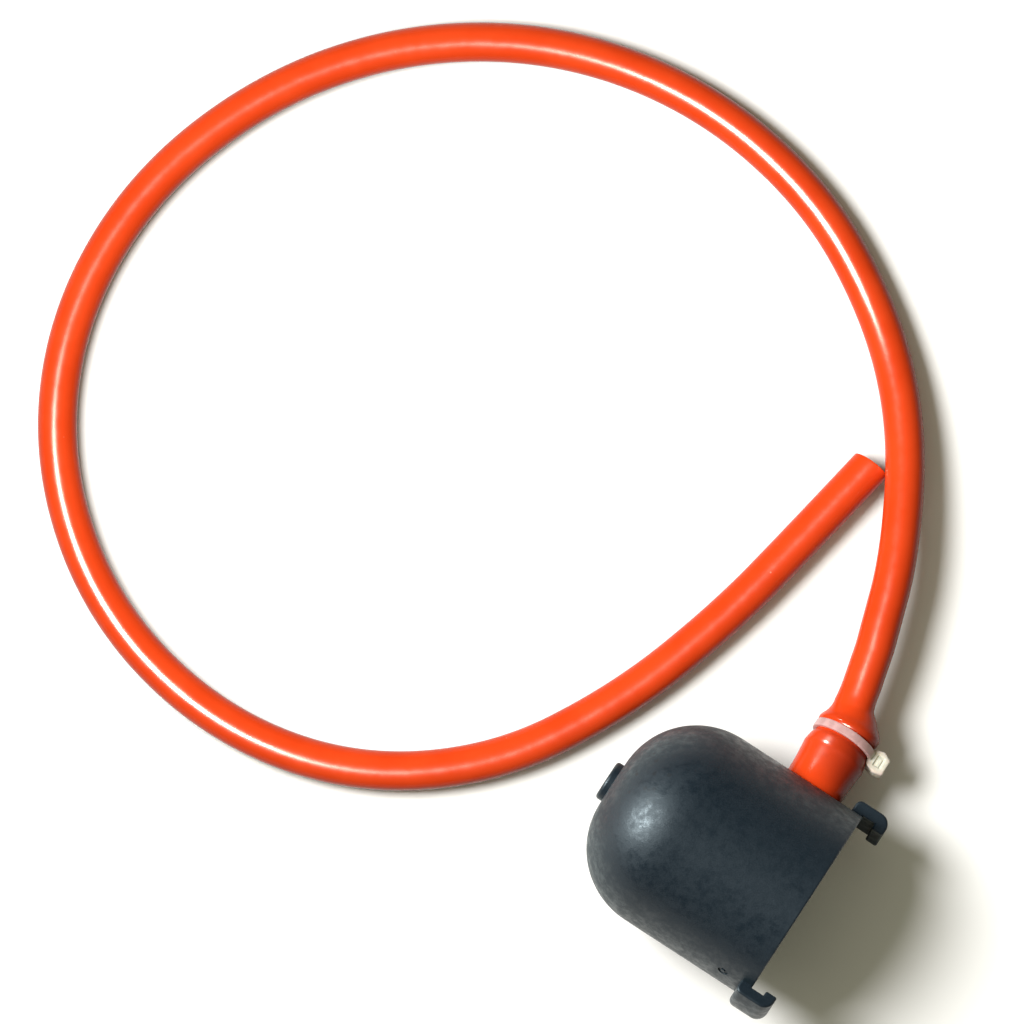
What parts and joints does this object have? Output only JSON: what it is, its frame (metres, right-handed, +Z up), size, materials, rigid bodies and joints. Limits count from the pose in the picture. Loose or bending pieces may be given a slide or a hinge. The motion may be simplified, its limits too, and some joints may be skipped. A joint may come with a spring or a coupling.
{
  "type": "air bell with hose",
  "caption": "Open-mouthed moulded air bell with two rim hooks and a side spigot, its loose silicone hose held by a cable tie.",
  "frame": {"origin": "on the surface the bell lies on, under the middle of the bell's box (hose and tie not counted)", "axes": "+X along the bell's axis, out of its mouth; +Y towards the spigot; +Z up from the surface"},
  "size_m": [0.2306, 0.1904, 0.05],
  "materials": {
    "bell_plastic": "matte charcoal moulded plastic with a faint pale bloom",
    "seal_rubber": "matte black rubber",
    "hose_silicone": "semi-gloss orange-red silicone",
    "tie_nylon": "natural nylon, slightly see-through"
  },
  "bodies": {
    "root": {"bell": "bell_plastic", "mouth_seal": "seal_rubber", "hose": "hose_silicone", "cable_tie": "tie_nylon"}
  },
  "joints": []
}
